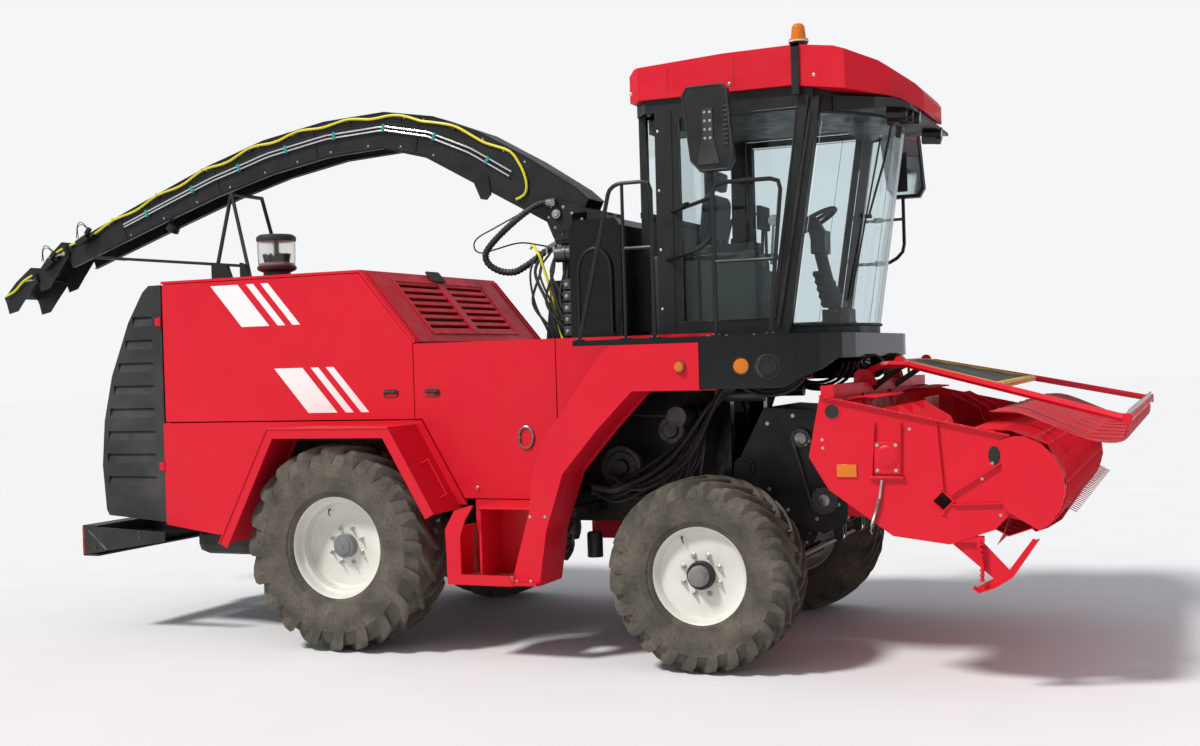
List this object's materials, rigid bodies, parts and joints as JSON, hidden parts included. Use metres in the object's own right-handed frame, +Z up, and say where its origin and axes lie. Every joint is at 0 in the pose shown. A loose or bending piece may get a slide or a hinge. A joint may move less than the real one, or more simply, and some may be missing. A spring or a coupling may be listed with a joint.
{
  "type": "forage_harvester",
  "caption": "Red self-propelled forage harvester with cab, curved discharge spout, louvred rear cowl and a raised grass pickup header with wind guard",
  "frame": {"origin": "On the ground under the middle of the bounding box", "axes": "+X forward along the machine towards the pickup header, +Y to the machine's left, +Z up"},
  "size_m": [9.54, 3.1096, 4.1746],
  "materials": {
    "red_paint": "gloss",
    "black_paint": "satin",
    "gloss_black": "gloss",
    "white_paint": "satin",
    "tyre_rubber": "matte",
    "tinted_glass": "gloss",
    "dark_steel": "satin",
    "rod_steel": "polished",
    "seat_cloth": "matte"
  },
  "bodies": {
    "chassis": {"main_frame": "black_paint", "front_axle": "dark_steel", "rear_axle": "black_paint", "engine_block": "dark_steel", "fuel_tank": "black_paint", "rear_bumper": "black_paint", "hood_shell": "red_paint", "rear_side_right": "red_paint", "rear_side_left": "red_paint", "front_side_right": "red_paint", "front_side_left": "red_paint", "pre_cleaner": "black_paint", "spout_cradle": "black_paint", "chopper_tower": "black_paint", "cab_platform": "gloss_black", "rear_rail_right": "black_paint", "rear_rail_left": "black_paint", "front_rail": "black_paint", "cab_frame": "black_paint", "windscreen": "tinted_glass", "rear_window": "tinted_glass", "side_glass": "tinted_glass", "cab_roof": "red_paint", "driver_seat": "seat_cloth", "steering_column": "black_paint"},
    "front_wheel_right": {"front_tyre_right": "tyre_rubber", "front_rim_right": "white_paint"},
    "front_wheel_left": {"front_tyre_left": "tyre_rubber", "front_rim_left": "white_paint"},
    "steer_right": {"steering_knuckle_right": "black_paint"},
    "steer_left": {"steering_knuckle_left": "black_paint"},
    "tie_rod": {"steering_rod": "rod_steel"},
    "rear_wheel_right": {"rear_tyre_right": "tyre_rubber", "rear_rim_right": "white_paint"},
    "rear_wheel_left": {"rear_tyre_left": "tyre_rubber", "rear_rim_left": "white_paint"},
    "hood_door_right_body": {"hood_door_right": "red_paint"},
    "hood_door_left_body": {"hood_door_left": "red_paint"},
    "service_door_right_body": {"service_door_right": "red_paint"},
    "service_door_left_body": {"service_door_left": "red_paint"},
    "grille": {"rear_grille": "black_paint"},
    "left_door": {"cab_door": "black_paint", "door_glass": "tinted_glass"},
    "turret": {"spout_turret": "black_paint"},
    "spout_body": {"spout": "black_paint"},
    "flap_inner": {"spout_flap_inner": "black_paint"},
    "flap_outer": {"spout_flap_outer": "black_paint"},
    "header": {"feeder_house": "black_paint", "header_frame": "red_paint"},
    "roll_lower": {"feed_roll_lower": "dark_steel"},
    "roll_upper": {"feed_roll_upper": "dark_steel"},
    "auger_body": {"auger": "red_paint"},
    "reel": {"pickup_reel": "red_paint"},
    "guard": {"wind_guard": "red_paint"},
    "barrel_right": {"lift_barrel_right": "black_paint"},
    "barrel_left": {"lift_barrel_left": "black_paint"},
    "rod_right": {"lift_rod_right": "rod_steel"},
    "rod_left": {"lift_rod_left": "rod_steel"}
  },
  "joints": [
    {"name": "roll_front_right", "type": "hinge", "parent": "chassis", "child": "front_wheel_right", "pos_m": [2.144, -1.17, 0.625], "axis": [0, 1, 0], "continuous": true},
    {"name": "roll_front_left", "type": "hinge", "parent": "chassis", "child": "front_wheel_left", "pos_m": [2.144, 1.17, 0.625], "axis": [0, 1, 0], "continuous": true},
    {"name": "steer_right_joint", "type": "hinge", "parent": "chassis", "child": "steer_right", "pos_m": [-0.576, -0.98, 0.74], "axis": [0, 0, 1], "range_deg": [-20, 20]},
    {"name": "steer_left_joint", "type": "hinge", "parent": "chassis", "child": "steer_left", "pos_m": [-0.576, 0.98, 0.74], "axis": [0, 0, 1], "range_deg": [-20, 20]},
    {"name": "tie_rod_joint", "type": "slide", "parent": "chassis", "child": "tie_rod", "axis": [0, 1, 0], "range_m": [-0.053, 0.053]},
    {"name": "roll_rear_right", "type": "hinge", "parent": "steer_right", "child": "rear_wheel_right", "pos_m": [-0.576, -1.175, 0.74], "axis": [0, 1, 0], "continuous": true},
    {"name": "roll_rear_left", "type": "hinge", "parent": "steer_left", "child": "rear_wheel_left", "pos_m": [-0.576, 1.175, 0.74], "axis": [0, 1, 0], "continuous": true},
    {"name": "hood_door_right_hinge", "type": "hinge", "parent": "chassis", "child": "hood_door_right_body", "pos_m": [-2.286, -1.06, 2.1], "axis": [0, 0, -1], "range_deg": [0, 85]},
    {"name": "hood_door_left_hinge", "type": "hinge", "parent": "chassis", "child": "hood_door_left_body", "pos_m": [-2.286, 1.06, 2.1], "axis": [0, 0, 1], "range_deg": [0, 85]},
    {"name": "service_door_right_hinge", "type": "hinge", "parent": "chassis", "child": "service_door_right_body", "pos_m": [1.049, -1.06, 1.6], "axis": [0, 0, 1], "range_deg": [0, 75]},
    {"name": "service_door_left_hinge", "type": "hinge", "parent": "chassis", "child": "service_door_left_body", "pos_m": [1.049, 1.06, 1.6], "axis": [0, 0, -1], "range_deg": [0, 75]},
    {"name": "grille_hinge", "type": "hinge", "parent": "chassis", "child": "grille", "pos_m": [-2.316, -1.06, 1.8], "axis": [0, 0, 1], "range_deg": [0, 80]},
    {"name": "cab_door_hinge", "type": "hinge", "parent": "chassis", "child": "left_door", "pos_m": [1.889, 0.863, 2.9], "axis": [0, 0, 1], "range_deg": [0, 75]},
    {"name": "spout_turn", "type": "hinge", "parent": "chassis", "child": "turret", "pos_m": [0.874, 0, 2.9203], "axis": [0, 0, 1], "range_deg": [-95, 95]},
    {"name": "spout_lift", "type": "hinge", "parent": "turret", "child": "spout_body", "pos_m": [0.694, 0, 3.12], "axis": [0, 1, 0], "range_deg": [0, 30]},
    {"name": "flap_inner_hinge", "type": "hinge", "parent": "spout_body", "child": "flap_inner", "pos_m": [-4.071, 0, 3.09], "axis": [0, 1, 0], "range_deg": [-35, 20]},
    {"name": "flap_outer_hinge", "type": "hinge", "parent": "flap_inner", "child": "flap_outer", "pos_m": [-4.416, 0, 2.88], "axis": [0, 1, 0], "range_deg": [-35, 20]},
    {"name": "header_lift", "type": "hinge", "parent": "chassis", "child": "header", "pos_m": [2.194, 0, 1.25], "axis": [0, -1, 0], "range_deg": [-20, 0]},
    {"name": "roll_lower_turn", "type": "hinge", "parent": "header", "child": "roll_lower", "pos_m": [2.754, 0, 1.03], "axis": [0, 1, 0], "continuous": true},
    {"name": "roll_upper_turn", "type": "hinge", "parent": "header", "child": "roll_upper", "pos_m": [2.604, 0, 1.45], "axis": [0, 1, 0], "continuous": true},
    {"name": "auger_turn", "type": "hinge", "parent": "header", "child": "auger_body", "pos_m": [3.398, 0, 1.402], "axis": [0, 1, 0], "continuous": true},
    {"name": "reel_turn", "type": "hinge", "parent": "header", "child": "reel", "pos_m": [4.134, 0, 1.2], "axis": [0, 1, 0], "continuous": true},
    {"name": "guard_hinge", "type": "hinge", "parent": "header", "child": "guard", "pos_m": [3.044, 0, 1.865], "axis": [0, -1, 0], "range_deg": [-3, 35]},
    {"name": "barrel_right_hinge", "type": "hinge", "parent": "chassis", "child": "barrel_right", "pos_m": [2.164, -0.28, 0.44], "axis": [0, -1, 0], "range_deg": [-9, 0]},
    {"name": "rod_right_slide", "type": "slide", "parent": "barrel_right", "child": "rod_right", "axis": [0.8933, 0, 0.4494], "range_m": [-0.262, 0]},
    {"name": "barrel_left_hinge", "type": "hinge", "parent": "chassis", "child": "barrel_left", "pos_m": [2.164, 0.28, 0.44], "axis": [0, -1, 0], "range_deg": [-9, 0]},
    {"name": "rod_left_slide", "type": "slide", "parent": "barrel_left", "child": "rod_left", "axis": [0.8933, 0, 0.4494], "range_m": [-0.262, 0]}
  ],
  "couplings": [
    {"joint": "steer_left_joint", "follows": "steer_right_joint", "ratio": 1},
    {"joint": "tie_rod_joint", "follows": "steer_right_joint", "m_per_rad": -0.15},
    {"joint": "barrel_right_hinge", "follows": "header_lift", "ratio": 0.436},
    {"joint": "rod_right_slide", "follows": "header_lift", "m_per_rad": 0.732},
    {"joint": "barrel_left_hinge", "follows": "header_lift", "ratio": 0.436},
    {"joint": "rod_left_slide", "follows": "header_lift", "m_per_rad": 0.732}
  ]
}
